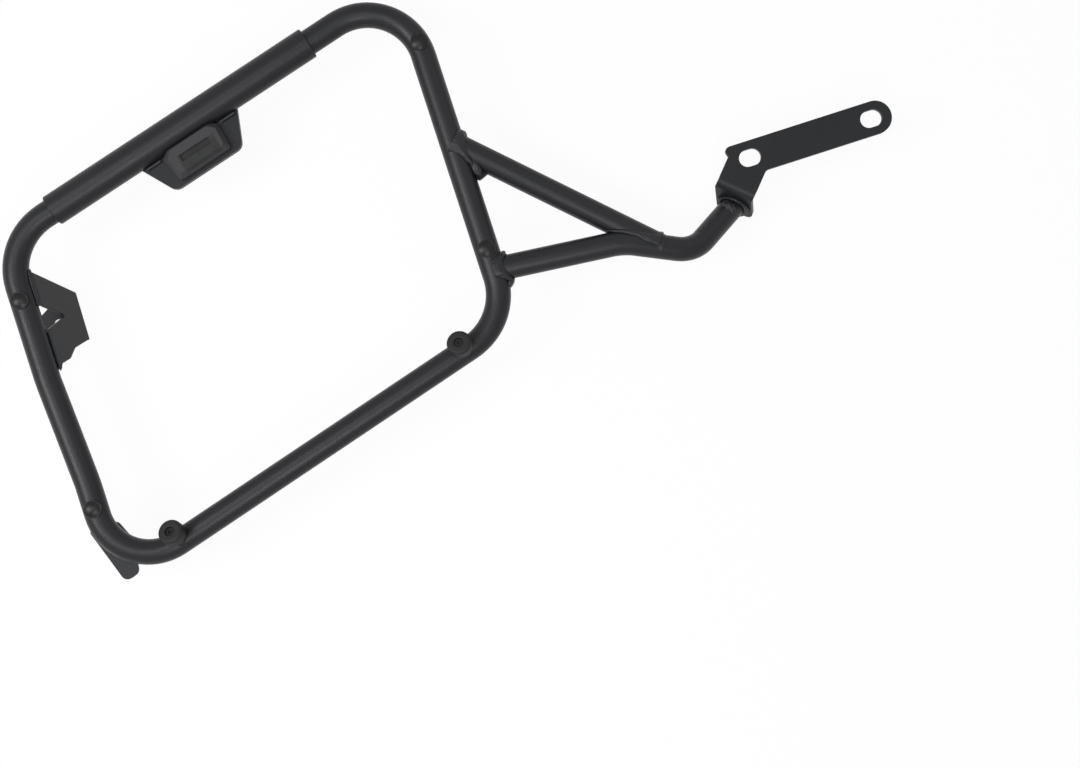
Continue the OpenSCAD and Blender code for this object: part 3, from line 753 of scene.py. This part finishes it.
@dataclass(frozen=True)
class WeldHeap:
    """A lump of weld metal where two beads meet or a pass was started."""

    name: str
    middle: Point
    way: Point
    half: Point
    rough: float = 0.22
    detail: int = 5
    seed_spread: float = 90.0
    coarse: float = 1.7
    fine: float = 5.0
    fine_share: float = 0.35

    def build(self, material: bpy.types.Material) -> bpy.types.Object:
        """Makes the heap.

        Args:
            material: the finish.

        Returns:
            The piece.
        """
        along = Vector(self.way).normalized()
        up = Vector((0.0, 0.0, 1.0))
        up = (up - along * up.dot(along)).normalized()
        across = up.cross(along)
        form = bmesh.new()
        bmesh.ops.create_icosphere(form, subdivisions=self.detail, radius=1.0)
        middle = Vector(self.middle)
        for vert in form.verts:
            ball = vert.co.copy()
            seed = ball + middle * self.seed_spread
            swell = 1.0 + self.rough * noise.noise(seed * self.coarse)
            swell += self.fine_share * self.rough * noise.noise(seed * self.fine)
            vert.co = middle + swell * (
                along * ball.x * self.half[0]
                + across * ball.y * self.half[1]
                + up * ball.z * self.half[2]
            )
        return hang(form, self.name, None, material, WELD_CREASE)


@dataclass
class TubeLoop:
    """The bent loop with its sleeve, stud bosses and plugs."""

    coated: tuple[str, ...] = ("loop_tube", "buffer_seats")
    sleeve_edge: float = 0.5 * MM
    boss_edge: float = 0.35 * MM
    plug_edge: float = 0.4 * MM

    def dress(self, finishes: Finishes) -> None:
        """Coats the tubes, the bosses and the plugs."""
        for name in self.coated:
            dress_node(name, finishes.tube)
        SoftEdges(self.sleeve_edge, 3).build(
            "top_sleeve", "soft_top_sleeve", "powder_coat", finishes.tube
        )
        SoftEdges(self.boss_edge).build(
            "stud_bosses", "soft_stud_bosses", "powder_coat", finishes.tube
        )
        SoftEdges(self.plug_edge, 3).build(
            "stud_plugs", "moulded_stud_plugs", "plug_black", finishes.plug
        )


@dataclass
class CaseBuffers:
    """The two rubber buffers and their screws."""

    rubber_edge: float = 0.9 * MM
    screw_edge: float = 0.18 * MM

    def dress(self, finishes: Finishes) -> None:
        """Rounds the rubbers and gives the screws their finish."""
        SoftEdges(self.rubber_edge, 4, 25.0).build(
            "rubber_buffers", "moulded_buffers", "buffer_rubber", finishes.rubber
        )
        SoftEdges(self.screw_edge, 2).build(
            "buffer_screws", "socket_screws", "dark_screw", finishes.screw
        )


@dataclass
class FrontStay:
    """Brace, arm, gusset and slotted plate that reach the motorcycle."""

    tubes: tuple[str, ...] = ("upper_brace", "lower_arm")
    brace_root: Point = (-0.274, 0.081, 0.016)
    brace_way: Point = (0.72, -0.69, 0.0)
    arm_root: Point = (-0.274, -0.024, 0.016)
    arm_way: Point = (0.995, -0.099, 0.0)
    stay_way: Point = (0.83, -0.56, 0.0)
    arm_tip: Point = (-0.0716, -0.0301, -0.0164)
    tip_way: Point = (0.83, 0.37, -0.42)
    plate_edge: float = 0.5 * MM
    heaps: tuple[WeldHeap, ...] = (
        WeldHeap(
            "gusset_heap",
            (-0.2628, 0.0580, 0.0190),
            (0.25, -0.97, 0.0),
            (0.0115, 0.0044, 0.0048),
            rough=0.18,
        ),
        WeldHeap(
            "arm_heap",
            (-0.2644, -0.0374, 0.0160),
            (-0.69, -0.73, 0.0),
            (0.0060, 0.0029, 0.0060),
            rough=0.08,
        ),
        WeldHeap(
            "corner_heap",
            (-0.2633, -0.0149, 0.0160),
            (0.744, -0.668, 0.0),
            (0.0056, 0.0020, 0.0056),
            rough=0.08,
        ),
        WeldHeap(
            "plate_heap",
            (-0.0776, -0.0324, -0.0056),
            (0.52, -0.85, 0.0),
            (0.0070, 0.0045, 0.0041),
        ),
    )

    def dress(self, finishes: Finishes) -> None:
        """Coats the tubes, rounds the plate and lays the beads."""
        for name in self.tubes:
            dress_node(name, finishes.tube)
        soft = SoftEdges(self.plate_edge)
        soft.build("brace_gusset", "soft_gusset", "powder_coat", finishes.tube)
        soft.build("mount_plate", "soft_mount_plate", "plate_coat", finishes.sheet)
        WeldBead(
            "brace_weld", Run.ROUND, self.brace_root, self.brace_way, swell=0.1 * MM
        ).build("brace_bead", finishes.weld)
        WeldBead("arm_weld", Run.ROUND, self.arm_root, self.arm_way).build(
            "arm_bead", finishes.weld
        )
        WeldBead("stay_weld", Run.ALONG, self.arm_root, self.stay_way).build(
            "stay_bead", finishes.weld
        )
        WeldBead("plate_weld", Run.ROUND, self.arm_tip, self.tip_way).build(
            "plate_bead", finishes.weld
        )
        for heap in self.heaps:
            heap.build(finishes.weld)


@dataclass
class RearBrackets:
    """The folded bracket on the rear side and the crossbar tab."""

    edge: float = 0.4 * MM
    side_way: Point = (0.0, 1.0, 0.0)
    tab_way: Point = (0.32, -0.95, 0.0)
    tab_place: Point = (-0.637, -0.122, 0.006)

    def dress(self, finishes: Finishes) -> None:
        """Rounds and coats the brackets and lays their beads."""
        soft = SoftEdges(self.edge)
        soft.build("rear_bracket", "soft_rear_bracket", "plate_coat", finishes.sheet)
        soft.build("crossbar_tab", "soft_crossbar_tab", "plate_coat", finishes.sheet)
        WeldBead("bracket_welds", Run.ALONG, self.tab_place, self.side_way).build(
            "bracket_beads", finishes.weld
        )
        WeldBead("tab_welds", Run.ALONG, self.tab_place, self.tab_way).build(
            "tab_beads", finishes.weld
        )


@dataclass
class LatchSeat:
    """The pressed latch plate with its rubber pad."""

    press_edge: float = 0.8 * MM
    pad_edge: float = 0.8 * MM
    recess_top: float = 23.4 * MM
    recess_low: float = 21.5 * MM
    recess_reach: float = 14.5 * MM
    recess_width: float = 5.0 * MM
    pad_middle: Point = (-0.46598, 0.13635, 0.024)
    sleeve_way: Point = (0.962, 0.274, 0.0)
    sleeve_middle: Point = (-0.4723, 0.1586, 0.016)

    def dress(self, finishes: Finishes) -> None:
        """Rounds the pressed rim and the pad, paints shade into the pad's recess, and lays the beads.
        """
        SoftEdges(self.press_edge, 4, 40.0).build(
            "latch_plate", "pressed_latch_plate", "plate_coat", finishes.sheet
        )
        pad = SoftEdges(self.pad_edge, 3, 22.0).build(
            "latch_pad", "moulded_latch_pad", "pad_rubber", finishes.pad
        )
        # Painted shade: the recess's faces get a darker rubber.
        self.paint_recess_shade(pad, finishes.recess)
        WeldBead(
            "latch_welds",
            Run.ALONG,
            self.sleeve_middle,
            self.sleeve_way,
            ripple=0.06 * MM,
            lump=0.12 * MM,
            swell=-0.4 * MM,
        ).build("latch_beads", finishes.weld)

    def paint_recess_shade(
        self, pad: bpy.types.Object, material: bpy.types.Material
    ) -> None:
        """Paints shade on the floor and walls of the pad's recess by giving their faces a darker
        rubber.

        Args:
            pad: the moulded pad.
            material: the darker rubber that paints the recess's shade.
        """
        pad.data.materials.append(material)
        way = Vector(self.sleeve_way).normalized()
        for face in pad.data.polygons:
            arm = face.center - Vector(self.pad_middle)
            along = abs(arm.dot(way))
            across = abs(arm.dot(Vector((-way.y, way.x, 0.0))))
            inside = along < self.recess_reach and across < self.recess_width
            if inside and self.recess_low < face.center.z < self.recess_top:
                face.material_index = 1


@dataclass(frozen=True)
class Lamp:
    """A soft area lamp; tall is its height as a share of its width."""

    name: str
    at: Point
    width: float
    power: float
    tall: float


@dataclass
class Studio:
    """Camera, floor, lamps and background."""

    camera_at: Point = (-0.3049, -0.1517, 1.1886)
    look_at: Point = (-0.26699, -0.12031, 0.016)
    top_at: Point = (-0.24266, -0.04570, 0.016)
    lens: float = 50.0
    sensor: float = 36.0
    nearest: float = 0.05
    farthest: float = 50.0
    floor_x: float = -0.3
    floor_z: float = -0.0385
    floor_reach: float = 6.0
    floor_cells: int = 8
    floor_shade: Colour = (0.90, 0.90, 0.90)
    floor_colour: Colour = (0.93, 0.93, 0.93)
    floor_glow: float = 0.94
    shadow_reach: float = 0.6
    shadow_fade: float = 0.7
    air: Colour = (0.96, 0.97, 1.0)
    air_level: float = 0.28
    lamps_aim: Point = (-0.33, 0.02, 0.0)
    lamps: tuple[Lamp, ...] = (
        Lamp("key_lamp", (-1.60, 0.16, 1.55), 0.70, 21.5, 1.3),
        Lamp("top_lamp", (-0.56, 0.08, 1.52), 0.50, 2.9, 1.0),
        Lamp("fill_lamp", (0.90, 0.70, 1.50), 1.30, 2.4, 1.2),
        Lamp("low_lamp", (-0.49, -0.86, 1.50), 0.50, 9.0, 1.2),
    )

    def camera(self) -> None:
        """Sets up the camera, which stands where the photograph's did."""
        data = bpy.data.cameras.new("photo_camera")
        data.lens = self.lens
        data.sensor_width = self.sensor
        data.clip_start, data.clip_end = self.nearest, self.farthest
        camera = bpy.data.objects.new("photo_camera", data)
        bpy.context.scene.collection.objects.link(camera)
        eye = Vector(self.camera_at)
        back = (eye - Vector(self.look_at)).normalized()
        up = Vector(self.top_at) - Vector(self.look_at)
        up = (up - back * up.dot(back)).normalized()
        side = up.cross(back)
        camera.matrix_world = Matrix(
            (
                (side.x, up.x, back.x, eye.x),
                (side.y, up.y, back.y, eye.y),
                (side.z, up.z, back.z, eye.z),
                (0.0, 0.0, 0.0, 1.0),
            )
        )
        bpy.context.scene.camera = camera

    def floor(self) -> None:
        """Lays the pale floor, which keeps a soft shadow."""
        mesh = bpy.data.meshes.new("floor")
        form = bmesh.new()
        bmesh.ops.create_grid(
            form,
            x_segments=self.floor_cells,
            y_segments=self.floor_cells,
            size=self.floor_reach,
        )
        form.to_mesh(mesh)
        form.free()
        floor = bpy.data.objects.new("floor", mesh)
        floor.location = (self.floor_x, 0.0, self.floor_z)
        bpy.context.scene.collection.objects.link(floor)
        floor.data.materials.append(self.floor_material())

    def floor_material(self) -> bpy.types.Material:
        """Returns a white floor whose shadow shows faintly to the camera."""
        desk = ShaderDesk("pale_floor")
        speck = desk.noise(60.0, 3.0, 0.5)
        pale = desk.mixed(speck.clamped(), self.floor_shade, self.floor_colour)
        matt = desk.node(
            "ShaderNodeBsdfDiffuse", {}, {"Color": pale, "Roughness": 0.0}, "BSDF"
        )
        white = desk.node(
            "ShaderNodeEmission", {}, {"Color": WHITE, "Strength": 1.0}, "Emission"
        )
        away = desk.node(
            "ShaderNodeVectorMath", {"operation": "LENGTH"}, {0: desk.place()}, "Value"
        )
        far = ((away - self.shadow_reach) / self.shadow_fade).clamped()
        glow = far * (1.0 - self.floor_glow) + self.floor_glow
        both = desk.node(
            "ShaderNodeMixShader",
            {},
            {0: desk.seen_plainly() * glow, 1: matt, 2: white},
            "Shader",
        )
        desk.raw("ShaderNodeOutputMaterial", {}, {"Surface": both})
        return desk.material

    def lights(self) -> None:
        """Hangs the soft lamps."""
        for lamp in self.lamps:
            data = bpy.data.lights.new(lamp.name, "AREA")
            data.shape = "RECTANGLE"
            data.size, data.size_y = lamp.width, lamp.width * lamp.tall
            data.energy = lamp.power
            hung = bpy.data.objects.new(lamp.name, data)
            hung.location = lamp.at
            aim = Vector(self.lamps_aim) - Vector(lamp.at)
            hung.rotation_mode = "QUATERNION"
            hung.rotation_quaternion = aim.to_track_quat("-Z", "Y")
            bpy.context.scene.collection.objects.link(hung)

    def world(self) -> None:
        """Sets a plain pale world that the camera and mirrors see as white."""
        desk = ShaderDesk("studio_world", world=True)
        dim = desk.node(
            "ShaderNodeBackground",
            {},
            {"Color": (*self.air, 1.0), "Strength": self.air_level},
            "Background",
        )
        white = desk.node(
            "ShaderNodeBackground",
            {},
            {"Color": WHITE, "Strength": 1.0},
            "Background",
        )
        shown = desk.node(
            "ShaderNodeMixShader", {}, {0: desk.seen_plainly(), 1: dim, 2: white}, "Shader"
        )
        desk.raw("ShaderNodeOutputWorld", {}, {"Surface": shown})
        bpy.context.scene.world = desk.material

    def build(self) -> None:
        """Sets up the whole studio."""
        self.camera()
        self.floor()
        self.lights()
        self.world()
        bpy.context.scene.view_settings.view_transform = "Standard"


def main() -> None:
    """Builds the studio and dresses the object, piece by piece."""
    logging.basicConfig(level=logging.INFO)
    Studio().build()
    finishes = Finishes()
    for part in (TubeLoop(), CaseBuffers(), FrontStay(), RearBrackets(), LatchSeat()):
        part.dress(finishes)
        LOG.info("finished %s", type(part).__name__)


if __name__ == "__main__":
    main()
